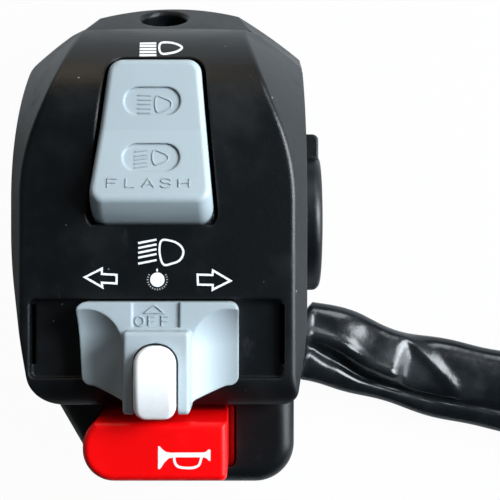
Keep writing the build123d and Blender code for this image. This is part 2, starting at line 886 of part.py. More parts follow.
def dimmer_bridge():
    strip = box(-bridge_half, bridge_half, plunger_place_y - bridge_width / 2,
                plunger_place_y + bridge_width / 2, plunger_neck_z, plunger_neck_z + bridge_thickness)
    return strip - post(0, plunger_place_y, plunger_stem_radius + pin_clearance / 2, plunger_low_z,
                        plunger_top_z)


def dimmer_spring():
    return coil(0, plunger_place_y, cap_top_z, plunger_low_z, dimmer_spring_radius, dimmer_spring_wire,
                dimmer_spring_turns)


# Passing contacts, clamped under a boss of the front shell
def passing_strip(top_z):
    strip = box(rocker_center_x - leaf_half, rocker_center_x + leaf_half, leaf_back_y, leaf_tip_y,
                top_z - leaf_thickness, top_z)
    return strip - post(rocker_center_x, leaf_boss_y, small_screw_radius + pin_clearance,
                        top_z - overrun, top_z + overrun)


leaf_spacer_z = leaf_top_z - leaf_thickness
lower_leaf_z = leaf_spacer_z - leaf_spacer_thickness
leaf_seat_z = lower_leaf_z - leaf_thickness


def leaf_spacer():
    spacer = box(rocker_center_x - leaf_half, rocker_center_x + leaf_half, leaf_back_y,
                 leaf_boss_y + leaf_boss_radius, lower_leaf_z, leaf_spacer_z)
    return spacer - post(rocker_center_x, leaf_boss_y, small_screw_radius + pin_clearance,
                         lower_leaf_z - overrun, leaf_spacer_z + overrun)


# Turn knob: a strip with a notch, two scooped wings and a block with a slot for the button
def knob_scoop(side):
    edge = knob_left_x if side < 0 else knob_right_x
    x = edge - side * scoop_inset
    end = (x, scoop_end_y, scoop_height)
    return rod(scoop_radius, end, (x, foot_y, scoop_height)) + Pos(*end) * Sphere(scoop_radius)


def turn_knob():
    low_z = floor_z + seat_gap
    corners = [
        (knob_left_x, knob_top_y),
        (knob_low_left_x, knob_low_y),
        (knob_block_left_x - knob_flare, knob_wing_y),
        (knob_block_left_x, knob_side_y),
        (knob_block_left_x, knob_foot_y),
        (knob_block_right_x, knob_foot_y),
        (knob_block_right_x, knob_side_y),
        (knob_block_right_x + knob_flare, knob_wing_y),
        (knob_right_x, knob_low_y),
        (knob_right_x, knob_top_y),
    ]
    small = knob_edge_round
    left_radii = [knob_corner_round, knob_corner_round, knob_flare_round, knob_cove_round, small]
    radii = left_radii + left_radii[::-1]
    wings = prism(corners, radii, low_z, knob_strip_z)
    block_corners = [
        (knob_block_left_x, knob_block_top_y),
        (knob_block_left_x, knob_foot_y),
        (knob_block_right_x, knob_foot_y),
        (knob_block_right_x, knob_block_top_y),
    ]
    block = prism(block_corners, [small] * 4, low_z, knob_block_z)
    block = fillet(block.faces().sort_by(Axis.Z)[-1].edges(), small)
    scoops = knob_scoop(-1) + knob_scoop(1)
    scoops -= box(knob_block_left_x, knob_block_right_x, foot_y, 0, low_z, knob_block_z)
    knob = wings - scoops + block
    knob -= box(-half_width, half_width, foot_y, recess_bottom_y + seat_gap, low_z - overrun,
                front_face_z + seat_gap)
    notch = box(notch_left_x, notch_right_x, notch_low_y, 0, knob_strip_z - notch_depth,
                knob_strip_z + overrun)
    knob -= notch
    stem_low = low_z - knob_stem_depth
    knob += box(knob_center_x - knob_stem_half, knob_center_x + knob_stem_half,
                knob_center_y - stem_half_y, knob_center_y + stem_half_y, stem_low, low_z + overrun)
    slot_floor_z = cancel_z - cancel_height - cancel_travel - seat_gap
    knob -= cancel_outline(seat_gap, foot_y, slot_floor_z, knob_block_z + overrun)
    knob -= post(cancel_x, cancel_place_y, cancel_stem_radius + pin_clearance, stem_low - overrun, cancel_z)
    knob -= post(cancel_x, cancel_place_y, cancel_pocket_radius, cancel_pocket_z, cancel_z)
    knob -= post(knob_center_x, carrier_screw_place_y, carrier_screw_radius, stem_low - overrun,
                 stem_low + small_screw_reach)
    return knob


cancel_x = (cancel_left_x + cancel_right_x) / 2
cancel_place_y = knob_center_y + cancel_stem_y
cancel_low_z = cancel_z - cancel_height
cancel_pocket_z = cancel_low_z - cancel_travel - seat_gap - cancel_spring_depth
cancel_pocket_radius = cancel_spring_radius + cancel_spring_wire
carrier_screw_place_y = knob_center_y + carrier_screw_y
stem_low_z = floor_z + seat_gap - knob_stem_depth
carrier_top_z = shield_low_z


def slider_shield():
    half_y = stem_half_y + seat_gap + shield_overlap
    plate = box(knob_center_x - shield_half, knob_center_x + shield_half, knob_center_y - half_y,
                knob_center_y + half_y, shield_low_z, shield_z)
    hole_x = knob_stem_half + pin_clearance
    hole_y = stem_half_y + pin_clearance
    return plate - box(knob_center_x - hole_x, knob_center_x + hole_x, knob_center_y - hole_y,
                       knob_center_y + hole_y, shield_low_z - overrun, shield_z + overrun)


def turn_carrier():
    half_y = carrier_depth / 2
    body = box(knob_center_x - carrier_half, knob_center_x + carrier_half, knob_center_y - half_y,
               knob_center_y + half_y, carrier_low_z, carrier_top_z)
    body -= box(knob_center_x - knob_stem_half - pin_clearance, knob_center_x + knob_stem_half + pin_clearance,
                knob_center_y - stem_half_y - pin_clearance, knob_center_y + stem_half_y + pin_clearance,
                stem_low_z, carrier_top_z + overrun)
    body -= post(cancel_x, cancel_place_y, cancel_stem_radius + seat_gap, carrier_low_z + overrun, carrier_top_z)
    body -= post(knob_center_x, carrier_screw_place_y, carrier_screw_radius + pin_clearance,
                 carrier_low_z - overrun, carrier_top_z)
    body -= post(knob_center_x, carrier_screw_place_y, carrier_head_radius + thread_clearance,
                 carrier_low_z - overrun, carrier_low_z + carrier_head_height)
    body -= post(knob_center_x + detent_x, carrier_screw_place_y, detent_ball_radius + pin_clearance,
                 carrier_low_z - overrun, detent_seat_z)
    return body


detent_z = turn_board_z + seat_gap + detent_ball_radius
detent_seat_z = detent_z + detent_ball_radius + detent_spring_length


def carrier_screw():
    seat = carrier_low_z + carrier_head_height
    head = post(knob_center_x, carrier_screw_place_y, carrier_head_radius, carrier_low_z + pin_clearance, seat)
    return head + post(knob_center_x, carrier_screw_place_y, carrier_screw_radius - pin_clearance, seat,
                       stem_low_z + small_screw_reach - seat_gap)


def turn_wiper():
    low_y = knob_center_y - carrier_depth / 2
    return box(knob_center_x - wiper_half, knob_center_x + wiper_half, low_y, low_y + wiper_width,
               wiper_low_z, carrier_low_z)


def detent_ball():
    return Pos(knob_center_x + detent_x, carrier_screw_place_y, detent_z) * Sphere(detent_ball_radius)


def detent_spring():
    return coil(knob_center_x + detent_x, carrier_screw_place_y, detent_z + detent_ball_radius,
                detent_seat_z, detent_spring_radius, detent_spring_wire, detent_spring_turns)


turn_pad_y = knob_center_y - carrier_depth / 2 + wiper_width / 2


def turn_board():
    low_z = turn_board_z - turn_board_thickness
    board = box(-turn_board_half, turn_board_half, turn_board_bottom_y, turn_board_top_y, low_z, turn_board_z)
    board += box(-turn_board_half, turn_board_half, turn_boss_y - small_head_radius, turn_boss_y
                 + small_head_radius, low_z, turn_board_z)
    for x, y in ((-turn_boss_x, turn_boss_y), (turn_boss_x, turn_boss_low_y)):
        board -= post(x, y, small_screw_radius + pin_clearance, low_z - overrun, turn_board_z + overrun)
    for step in (-1, 0, 1):
        x = knob_center_x + step * turn_pad_pitch
        board -= post(x, turn_pad_y, turn_tail_radius + pin_clearance, low_z - overrun, turn_board_z + overrun)
        dimple = Pos(knob_center_x + detent_x + step * knob_travel, carrier_screw_place_y, detent_z)
        board -= dimple * Sphere(detent_ball_radius + 2 * seat_gap)
    return board


def turn_contacts():
    tail_z = turn_board_z - turn_board_thickness - turn_tail_length
    pads = []
    for step in (-1, 0, 1):
        x = knob_center_x + step * turn_pad_pitch
        pad = post(x, turn_pad_y, turn_pad_radius, turn_board_z, turn_board_z + turn_pad_height)
        pads.append(pad + post(x, turn_pad_y, turn_tail_radius, tail_z, turn_board_z))
    return group(pads)


def cancel_outline(gap, low_y, z0, z1):
    corners = [
        (cancel_left_x - gap, cancel_top_y + gap),
        (cancel_left_x - gap, low_y),
        (cancel_right_x + gap, low_y),
        (cancel_right_x + gap, cancel_top_y + gap),
    ]
    top_round = cancel_top_round + gap
    return prism(corners, [top_round, cancel_corner_round, cancel_corner_round, top_round], z0, z1)


def cancel_button():
    button = cancel_outline(0, cancel_foot_y, cancel_low_z, cancel_z)
    middle_y = (cancel_top_y + cancel_foot_y) / 2
    half_y = (cancel_top_y - cancel_foot_y) / 2
    dome_size = (half_y**2 + cancel_dome**2) / (2 * cancel_dome)
    button &= along_x(dome_size, cancel_left_x, cancel_right_x, middle_y, cancel_z - dome_size)
    rim = [edge for edge in button.edges() if edge.bounding_box().min.Z > cancel_z - cancel_dome - pin_clearance]
    button = fillet(rim, cancel_corner_round / 2)
    return button + post(cancel_x, cancel_place_y, cancel_stem_radius, cancel_low_z - cancel_stem_length,
                         cancel_low_z + overrun)


def cancel_spring():
    return coil(cancel_x, cancel_place_y, cancel_pocket_z, cancel_low_z, cancel_spring_radius,
                cancel_spring_wire, cancel_spring_turns)


def horn_button():
    body = horn_outline(0, 0, horn_low_z, horn_z)
    reach = 2 * half_width
    profile = Polyline(
        (horn_top_y, horn_low_z),
        (horn_top_y, foot_face_z),
        (horn_top_y - horn_slope, horn_z),
        (foot_y, horn_z),
        (foot_y, horn_low_z),
        close=True,
    )
    body &= extrude(Plane.YZ * make_face(profile), amount=reach, both=True)
    body = fillet(body.faces().sort_by(Axis.Z)[-1].edges(), horn_edge_round)
    flange = horn_outline(horn_flange, horn_flange, horn_low_z, horn_low_z + horn_flange_thickness)
    flange &= box(horn_left_x, horn_right_x + 2 * horn_flange, foot_y, 0, horn_low_z, horn_z)
    flange &= Pos(0, 0, horn_low_z) * extrude(foot_outline(shell_wall + horn_window_gap), amount=horn_z)
    body += flange
    roof_z = horn_z - horn_roof
    body -= horn_outline(-horn_wall - horn_slope, -horn_wall, horn_low_z - overrun, roof_z)
    body += post(horn_center_x, horn_center_y, horn_post_radius, horn_post_z, roof_z + overrun)
    return body


horn_press_z = horn_post_z - horn_bridge_thickness
horn_stud_z = horn_press_z - horn_travel - seat_gap


def horn_bridge():
    return box(horn_center_x - horn_bridge_half, horn_center_x + horn_bridge_half,
               horn_center_y - horn_bridge_width / 2, horn_center_y + horn_bridge_width / 2,
               horn_press_z, horn_post_z)


def horn_studs():
    low_z = horn_base_z - horn_base_thickness - horn_stud_tail
    return group(
        post(horn_center_x + side * horn_stud_x, horn_center_y, horn_stud_radius, low_z, horn_stud_z)
        for side in (-1, 1)
    )


def horn_spring():
    return coil(horn_center_x, horn_center_y, horn_base_z, horn_press_z, horn_spring_radius,
                horn_spring_wire, horn_spring_turns)


def horn_base():
    low_z = horn_base_z - horn_base_thickness
    base = box(horn_center_x - horn_base_half, horn_center_x + horn_base_half, horn_base_bottom_y,
               horn_base_top_y, low_z, horn_base_z)
    for side in (-1, 1):
        base -= post(horn_center_x + side * horn_base_post_x, horn_center_y, small_screw_radius + pin_clearance,
                     low_z - overrun, horn_base_z + overrun)
        base -= post(horn_center_x + side * horn_stud_x, horn_center_y, horn_stud_radius + pin_clearance,
                     low_z - overrun, horn_base_z + overrun)
    return base


# Cable clamp: a strap over the sleeve with two feet
def cable_clamp():
    inner = sleeve_radius + clamp_gap
    outer = inner + clamp_thickness
    x0 = clamp_x - clamp_width / 2
    x1 = clamp_x + clamp_width / 2
    strap = along_x(outer, x0, x1, outlet_y, outlet_z) & box(
        x0, x1, outlet_y - outer, outlet_y + outer, outlet_z, outlet_z + outer
    )
    strap += box(x0, x1, outlet_y - outer, outlet_y + outer, clamp_foot_z, outlet_z)
    foot = outer + clamp_foot_reach
    strap += box(x0, x1, outlet_y - foot, outlet_y + foot, clamp_foot_z, clamp_foot_z + clamp_thickness)
    strap -= along_x(inner, x0 - overrun, x1 + overrun, outlet_y, outlet_z)
    strap -= box(x0 - overrun, x1 + overrun, outlet_y - inner, outlet_y + inner, clamp_foot_z - overrun, outlet_z)
    for side in (-1, 1):
        strap -= post(clamp_x, outlet_y + side * clamp_screw_reach, small_screw_radius + pin_clearance,
                      clamp_foot_z - overrun, clamp_foot_z + 2 * clamp_thickness)
    return strap


def bend_radii(route):
    radii = []
    for before, here, after in zip(route, route[1:], route[2:]):
        into = Vector(here) - Vector(before)
        out = Vector(after) - Vector(here)
        half_turn = radians(into.get_angle(out)) / 2
        radii.append(bend_share * min(into.length, out.length) / tan(half_turn))
    return radii


def harness_sleeve():
    radii = bend_radii(sleeve_route)
    print("sleeve bend radii", [round(radius, 1) for radius in radii])
    path = FilletPolyline(*sleeve_route, radius=radii)
    section = Plane(origin=path @ 0, z_dir=path % 0) * Circle(sleeve_radius)
    tube = sweep(section, path=path)
    expected = section.area * path.length
    print("sleeve length", round(path.length, 1), "volume share", round(tube.volume / expected, 4))
    return tube


sleeve_end = Vector(sleeve_route[-1])
sleeve_out = (sleeve_end - Vector(sleeve_route[-2])).normalized()
plug_start = sleeve_end + sleeve_out * wire_length


def plug_frame(start):
    return Plane(origin=start, x_dir=(-sleeve_out.Y, sleeve_out.X, 0), z_dir=sleeve_out)


def wire_grid():
    return [(column * wire_pitch, row * wire_pitch) for row in (-1, 0, 1) for column in (-1, 0, 1)]


def outer_wires():
    low = (Align.CENTER, Align.CENTER, Align.MIN)
    wire = Cylinder(wire_radius, wire_length, align=low)
    return group(plug_frame(sleeve_end) * (Pos(x, y, 0) * wire) for x, y in wire_grid())


def plug_housing():
    low = (Align.CENTER, Align.CENTER, Align.MIN)
    block = Box(plug_width, plug_height, plug_length, align=low)
    block = fillet(block.edges().filter_by(Axis.Z), plug_pin_radius)
    hole = Box(2 * pin_hole_half, 2 * pin_hole_half, plug_pin_length + plug_pin_depth, align=low)
    for x, y in wire_grid():
        block -= Pos(x, y, plug_length - plug_pin_length) * hole
    latch = Box(latch_width, latch_height, latch_length, align=low)
    block += Pos(0, plug_height / 2, latch_height) * latch
    return plug_frame(plug_start) * block


def plug_pins():
    low = (Align.CENTER, Align.CENTER, Align.MIN)
    pin = Cylinder(plug_pin_radius, plug_pin_depth, align=low)
    return group(
        plug_frame(plug_start) * (Pos(x, y, plug_length - plug_pin_length) * pin) for x, y in wire_grid()
    )


def board_screws():
    screws = [
        small_screw(-dimmer_ear_x, plunger_place_y, dimmer_ear_z - dimmer_ear_thickness, True),
        small_screw(dimmer_ear_x, plunger_place_y, dimmer_ear_z - dimmer_ear_thickness, True),
        small_screw(-turn_boss_x, turn_boss_y, turn_board_z - turn_board_thickness, True),
        small_screw(turn_boss_x, turn_boss_low_y, turn_board_z - turn_board_thickness, True),
        small_screw(rocker_center_x, leaf_boss_y, leaf_seat_z, True),
    ]
    for side in (-1, 1):
        screws.append(small_screw(horn_center_x + side * horn_base_post_x, horn_center_y, horn_base_z, False))
    return group(screws)


def clamp_screws():
    return group(
        small_screw(clamp_x, outlet_y + side * clamp_screw_reach, clamp_foot_z + clamp_thickness, False)
        for side in (-1, 1)
    )


save("front_shell", front_shell())
save("rear_shell", rear_shell())
save("housing_screws", group(housing_screw(x, y) for x, y in screw_places))
save("thread_inserts", group(insert(x, y) for x, y in screw_places))
save("rocker_key", rocker_key())
save("rocker_pin", rocker_pin())
save("dimmer_block", dimmer_block())
save("dimmer_cap", dimmer_cap())
save("dimmer_pins", dimmer_pins())
save("dimmer_plunger", dimmer_plunger())
save("dimmer_bridge", dimmer_bridge())
save("dimmer_spring", dimmer_spring())
save("passing_leaf", passing_strip(leaf_top_z))
save("leaf_spacer", leaf_spacer())
save("passing_contact", passing_strip(lower_leaf_z))
save("turn_knob", turn_knob())
save("slider_shield", slider_shield())
save("turn_carrier", turn_carrier())
save("carrier_screw", carrier_screw())
save("turn_wiper", turn_wiper())
save("detent_ball", detent_ball())
save("detent_spring", detent_spring())
save("turn_board", turn_board())
save("turn_contacts", turn_contacts())
save("cancel_button", cancel_button())
save("cancel_spring", cancel_spring())
save("horn_button", horn_button())
save("horn_bridge", horn_bridge())
save("horn_spring", horn_spring())
save("horn_base", horn_base())
save("horn_studs", horn_studs())
save("board_screws", board_screws())
save("cable_clamp", cable_clamp())
save("clamp_screws", clamp_screws())
save("harness_sleeve", harness_sleeve())
save("outer_wires", outer_wires())
save("plug_housing", plug_housing())
save("plug_pins", plug_pins())
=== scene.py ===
import bpy
import bmesh
from math import cos, exp, hypot, pi, sin
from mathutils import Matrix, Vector
from mathutils.bvhtree import BVHTree


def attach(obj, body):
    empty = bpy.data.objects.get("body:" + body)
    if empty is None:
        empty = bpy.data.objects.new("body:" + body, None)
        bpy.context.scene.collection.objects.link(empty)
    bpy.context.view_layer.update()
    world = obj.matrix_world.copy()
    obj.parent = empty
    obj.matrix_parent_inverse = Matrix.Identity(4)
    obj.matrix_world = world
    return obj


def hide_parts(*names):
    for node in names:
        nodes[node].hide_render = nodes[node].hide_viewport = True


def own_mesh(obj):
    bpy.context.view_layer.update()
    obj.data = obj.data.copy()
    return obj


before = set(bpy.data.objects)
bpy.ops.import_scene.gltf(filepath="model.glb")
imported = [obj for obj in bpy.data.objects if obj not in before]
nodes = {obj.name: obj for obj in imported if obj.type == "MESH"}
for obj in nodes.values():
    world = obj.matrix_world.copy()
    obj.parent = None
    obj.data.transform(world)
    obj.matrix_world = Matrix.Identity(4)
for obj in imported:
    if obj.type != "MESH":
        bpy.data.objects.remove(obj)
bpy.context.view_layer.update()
mm = 0.001

# Front and rear shells: two mouldings of black glass-filled nylon that meet round the
# handlebar. The moulded skin is satin, with a fine grain, handling scuffs and specks of dust.
nylon_black = (0.0018, 0.0028, 0.0038, 1)
nylon_worn = (0.009, 0.0105, 0.0125, 1)
dust_colour = (0.34, 0.35, 0.36, 1)
dust_cover = 0.8
shell_grain = 0.03 * mm
shell_edge = 0.7 * mm


class Wire:
    """One socket in a material's node tree, so that sums on it read as plain sums."""

    def __init__(self, tree, socket=None):
        self.tree = tree
        self.socket = socket

    def node(self, kind, settings=None, sockets=None, out=0):
        """A new node of a kind: its settings first, then the values or links of its sockets."""
        made = self.tree.nodes.new(kind)
        for name, setting in (settings or {}).items():
            setattr(made, name, setting)
        for name, given in (sockets or {}).items():
            if isinstance(given, Wire):
                self.tree.links.new(given.socket, made.inputs[name])
            else:
                made.inputs[name].default_value = given
        return Wire(self.tree, made.outputs[out])

    def maths(self, operation, *given):
        return self.node("ShaderNodeMath", {"operation": operation}, dict(enumerate(given)))

    def __add__(self, other):
        return self.maths("ADD", self, other)

    def __radd__(self, other):
        return self.maths("ADD", other, self)

    def __sub__(self, other):
        return self.maths("SUBTRACT", self, other)

    def __rsub__(self, other):
        return self.maths("SUBTRACT", other, self)

    def __mul__(self, other):
        return self.maths("MULTIPLY", self, other)

    def __rmul__(self, other):
        return self.maths("MULTIPLY", other, self)

    def within(self, low, high):
        """0 below low, 1 above high, smooth between."""
        return self.node("ShaderNodeMapRange", {"interpolation_type": "SMOOTHSTEP"},
                         {"Value": self, "From Min": low, "From Max": high})

    def noise(self, scale, detail=2.0, rough=0.5, stretch=(1, 1, 1)):
        placed = self.node("ShaderNodeMapping", None, {"Vector": self, "Scale": stretch})
        return placed.node("ShaderNodeTexNoise", None,
                           {"Vector": placed, "Scale": scale, "Detail": detail, "Roughness": rough})

    def cells(self, scale):
        """The distance to the middle of the nearest cell."""
        return self.node("ShaderNodeTexVoronoi", None, {"Vector": self, "Scale": scale}, "Distance")


def blend_colour(mask, low, high):
    """The low colour where the mask is 0 and the high one where it is 1."""
    return mask.node("ShaderNodeMix", {"data_type": "RGBA"}, {0: mask, 6: low, 7: high}, 2)


def new_finish(name, **constant):
    """An empty material, its surface shader, and a wire on its object coordinates."""
    material = bpy.data.materials.new(name)
    material.use_nodes = True
    shader = material.node_tree.nodes["Principled BSDF"]
    for socket, value in constant.items():
        shader.inputs[socket.replace("_", " ")].default_value = value
    place = Wire(material.node_tree).node("ShaderNodeTexCoord", None, None, "Object")
    return material, shader, place


def feed(shader, **given):
    """Link each wire to the shader's socket of that name."""
    for name, wire in given.items():
        wire.tree.links.new(wire.socket, shader.inputs[name.replace("_", " ")])


def relief(place, height, depth, edge=0.0):
    """A bump of the given depth in metres, over edges rounded by edge metres."""
    sockets = {"Height": height, "Distance": depth, "Strength": 1.0}
    if edge:
        sockets["Normal"] = place.node("ShaderNodeBevel", {"samples": 6}, {"Radius": edge})
    return place.node("ShaderNodeBump", None, sockets)


def paint(material, *names):
    """Give the nodes of these names the material, alone."""
    for name in names:
        slots = nodes[name].data.materials
        slots.clear()
        slots.append(material)


shell_skin, shader, place = new_finish("black_nylon", IOR=1.5, Specular_IOR_Level=0.4)
cloud = place.noise(scale=70, detail=3, rough=0.6).within(0.42, 0.72)
scuff = place.noise(scale=260, detail=4, rough=0.7, stretch=(1, 0.45, 1)).within(0.62, 0.74)
speck_near = 1 - place.cells(scale=430).within(0.02, 0.1)
speck_some = place.noise(scale=310, detail=0).within(0.66, 0.7)
worn = cloud * 0.55 + scuff * 0.45
skin_colour = blend_colour(worn, nylon_black, nylon_worn)
fine_grain = place.noise(scale=3200, detail=2, rough=0.6)
coarse_grain = place.noise(scale=900, detail=1, rough=0.5)
feed(
    shader,
    Base_Color=blend_colour(speck_near * speck_some * dust_cover, skin_colour, dust_colour),
    Roughness=0.34 + cloud * 0.1 + scuff * 0.1,
    Normal=relief(place, fine_grain * 0.7 + coarse_grain * 0.6, shell_grain, shell_edge),
)
paint(shell_skin, "front_shell", "rear_shell")

# Signs on the housing: pad-printed white ink, a few hundredths of a millimetre thick.
# They are main beam, dipped beam, side lamp and the two turn arrows, drawn in millimetres.
ink_white = (0.94, 0.95, 0.95, 1)
ink_thin = (0.82, 0.85, 0.88, 1)
ink_proud = 0.025
ink_sunk = 0.05
line_width = 0.36
longest_run = 0.6
sharpest_corner = 0.4
ray_run = 30.0
face_level = 24.0
face_way = Vector((0, 0, -1))
brow_level = 16.0
brow_way = Vector((-0.078, 0.174, -0.982))


def arc_points(points, closed=False, steps=6):
    """A smooth line through the given points."""
    count = len(points)
    smooth = []
    for i in range(count if closed else count - 1):
        near = [i + k for k in (-1, 0, 1, 2)]
        four = [points[k % count] if closed else points[min(max(k, 0), count - 1)] for k in near]
        for step in range(steps):
            t = step / steps
            smooth.append(tuple(
                0.5 * (2 * b + (c - a) * t + (2 * a - 5 * b + 4 * c - d) * t * t
                       + (3 * b - a - 3 * c + d) * t ** 3)
                for a, b, c, d in zip(*four)
            ))
    if not closed:
        smooth.append(tuple(points[-1]))
    return smooth


def stroke(points, width, closed=False):
    """A band of even width along a line: its corner points and faces."""
    line = []
    ends = list(zip(points, points[1:] + points[:1] if closed else points[1:]))
    for (ax, ay), (bx, by) in ends:
        parts = max(1, int(hypot(bx - ax, by - ay) / longest_run))
        line += [(ax + (bx - ax) * k / parts, ay + (by - ay) * k / parts) for k in range(parts)]
    if not closed:
        line.append(points[-1])
    corners = []
    last = len(line) - 1
    for i, (x, y) in enumerate(line):
        before = line[i - 1] if i or closed else None
        after = line[(i + 1) % len(line)] if i < last or closed else None
        into = Vector((x - before[0], y - before[1])).normalized() if before else None
        out = Vector((after[0] - x, after[1] - y)).normalized() if after else None
        into = into or out
        out = out or into
        middle = (into + out).normalized()
        reach = width / 2 / max(sharpest_corner, middle.dot(into))
        aside_x, aside_y = -middle.y * reach, middle.x * reach
        corners += [(x + aside_x, y + aside_y), (x - aside_x, y - aside_y)]
    faces = []
    for i in range(len(line) if closed else last):
        a, b = 2 * i, 2 * ((i + 1) % len(line))
        faces.append((a, a + 1, b + 1, b))
    return corners, faces


def patch(points):
    """A filled outline: its corner points and its one face."""
    return list(points), [tuple(range(len(points)))]


def lamp_sign(left, right, rise, rows, lamp, width):
    """A lamp's rays, one to a row, and the round outline of the lamp beside them."""
    shapes = [stroke([(left, y), (right, y + rise)], width) for y in rows]
    shapes.append(stroke(arc_points(lamp, True), width, True))
    return shapes


def lay(name, shapes, carrier, proud, sunk, way=face_way, level=face_level):
    """A piece made of shapes drawn at a level in Z, pressed along a way on to a node's surface."""
    depsgraph = bpy.context.evaluated_depsgraph_get()
    surface = BVHTree.FromObject(nodes[carrier], depsgraph)
    mesh = bmesh.new()
    for points, faces in shapes:
        top, low = [], []
        for x, y in points:
            start = (Vector((x, y, level)) - way * ray_run) * mm
            spot, normal, _, _ = surface.ray_cast(start, way)
            top.append(mesh.verts.new(spot + normal * proud * mm))
            low.append(mesh.verts.new(spot - normal * sunk * mm))
        rims = {}
        for face in faces:
            mesh.faces.new([top[i] for i in face])
            mesh.faces.new([low[i] for i in reversed(face)])
            for a, b in zip(face, face[1:] + face[:1]):
                if (b, a) in rims:
                    del rims[(b, a)]
                else:
                    rims[(a, b)] = True
        for a, b in rims:
            mesh.faces.new((top[a], low[a], low[b], top[b]))
    bmesh.ops.triangulate(mesh, faces=[face for face in mesh.faces if len(face.verts) > 4])
    bmesh.ops.recalc_face_normals(mesh, faces=mesh.faces)
    data = bpy.data.meshes.new(name)
    mesh.to_mesh(data)
    mesh.free()
    piece = bpy.data.objects.new(name, data)
    bpy.context.collection.objects.link(piece)
    return piece


main_beam = lamp_sign(
    left=-3.72, right=-0.8, rise=0.05, rows=(31.05, 30.58, 30.05, 29.53, 28.98),
    lamp=[(0.05, 31.15), (1.5, 31.25), (2.95, 30.9), (3.72, 30.35),
          (3.0, 29.75), (1.6, 29.35), (0.15, 29.3), (-0.28, 30.25)],
    width=line_width,
)
dipped_beam = lamp_sign(
    left=-3.2, right=-0.1, rise=0.62, rows=(-4.15, -4.97, -5.78, -6.6, -7.62),
    lamp=[(0.72, -3.75), (2.2, -3.72), (3.7, -4.35), (4.45, -5.55),
          (3.9, -6.95), (2.5, -7.6), (1.05, -7.72), (0.42, -5.7)],
    width=line_width,
)
left_arrow = [(-12.2, -9.9), (-9.35, -8.45), (-9.35, -9.35), (-6.85, -9.5),
              (-6.85, -10.95), (-9.35, -10.82), (-9.25, -11.6)]
right_arrow = [(12.4, -10.5), (9.45, -8.75), (9.35, -9.55), (6.85, -9.45),
               (6.9, -11.15), (9.4, -11.2), (9.4, -12.0)]

side_lamp_x = 0.05
side_lamp_y = -10.32
side_lamp_radius = 1.22
side_ray_from = 1.5
side_ray_to = 1.78
side_ray_width = 0.07
side_ray_count = 24
side_rays_left_out = range(3, 10)
disc_corners = 32
side_marker = [(0.16, -8.7), (0.12, -8.95), (-0.1, -8.95), (-0.17, -8.7), (0.0, -8.35)]


def round_side_lamp(radius, share):
    """The point at a radius from the side lamp's middle, at a share of a full turn."""
    return (side_lamp_x + radius * cos(2 * pi * share), side_lamp_y + radius * sin(2 * pi * share))


side_lamp = [patch([round_side_lamp(side_lamp_radius, k / disc_corners) for k in range(disc_corners)])]
for k in range(side_ray_count):
    if k not in side_rays_left_out:
        ray = [round_side_lamp(radius, k / side_ray_count) for radius in (side_ray_from, side_ray_to)]
        side_lamp.append(stroke(ray, side_ray_width))
side_lamp.append(patch(side_marker))

ink, shader, place = new_finish("white_ink", IOR=1.45)
thin = place.noise(scale=1500, detail=3, rough=0.6).within(0.3, 0.62)
feed(shader, Base_Color=blend_colour(thin, ink_thin, ink_white), Roughness=0.55 - thin * 0.15)
signs = [lay("sign_main_beam", main_beam, "front_shell", ink_proud, ink_sunk, brow_way, brow_level)]
for name, shapes in (
    ("sign_dipped_beam", dipped_beam),
    ("sign_left_arrow", [stroke(left_arrow, line_width, True)]),
    ("sign_right_arrow", [stroke(right_arrow, line_width, True)]),
    ("sign_side_lamp", side_lamp),
):
    signs.append(lay(name, shapes, "front_shell", ink_proud, ink_sunk))
for piece in signs:
    piece.data.materials.append(ink)
    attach(piece, "housing")

# Beam rocker: a hollow grey key, moulded in one with the two sunk ovals. The lamp signs in
# the ovals and the word below them stand a tenth of a millimetre proud of its face.
key_grey = (0.37, 0.435, 0.468, 1)
key_pale = (0.41, 0.48, 0.515, 1)
key_edge = 0.5 * mm
key_grain = 0.1 * mm
sink_mark_place = (2.26 * mm, 13.98 * mm, 26.2 * mm)
sink_mark_floor = 0.2 * mm
sink_mark_rim = 0.75 * mm
raised = 0.12
rooted = 0.1
rib_width = 0.21
letter_height = 1.42
letter_pitch = 2.95
letter_share = 0.66
letter_strokes = {
    "A": [[(0, 0), (0.5, 1), (1, 0)], [(0.2, 0.34), (0.8, 0.34)]],
    "F": [[(0.05, 0), (0.05, 1), (0.9, 1)], [(0.05, 0.52), (0.75, 0.52)]],
    "H": [[(0.05, 0), (0.05, 1)], [(0.95, 0), (0.95, 1)], [(0.05, 0.5), (0.95, 0.5)]],
    "L": [[(0.1, 1), (0.1, 0), (0.9, 0)]],
    "O": [arc_points([(0.5, 1), (0.12, 0.83), (0, 0.5), (0.12, 0.17), (0.5, 0),
                      (0.88, 0.17), (1, 0.5), (0.88, 0.83), (0.5, 1)])],
    "S": [arc_points([(0.93, 0.84), (0.7, 1), (0.3, 1), (0.07, 0.78), (0.3, 0.54),
                      (0.7, 0.47), (0.95, 0.24), (0.7, 0), (0.27, 0), (0.04, 0.18)])],
}


def word(letters, x, y, height, pitch, width):
    """The strokes of a word whose first letter has its lower left corner at x, y."""
    shapes = []
    for letter in letters:
        for line in letter_strokes[letter]:
            placed = [(x + px * pitch * letter_share, y + py * height) for px, py in line]
            shapes.append(stroke(placed, width))
        x += pitch
    return shapes


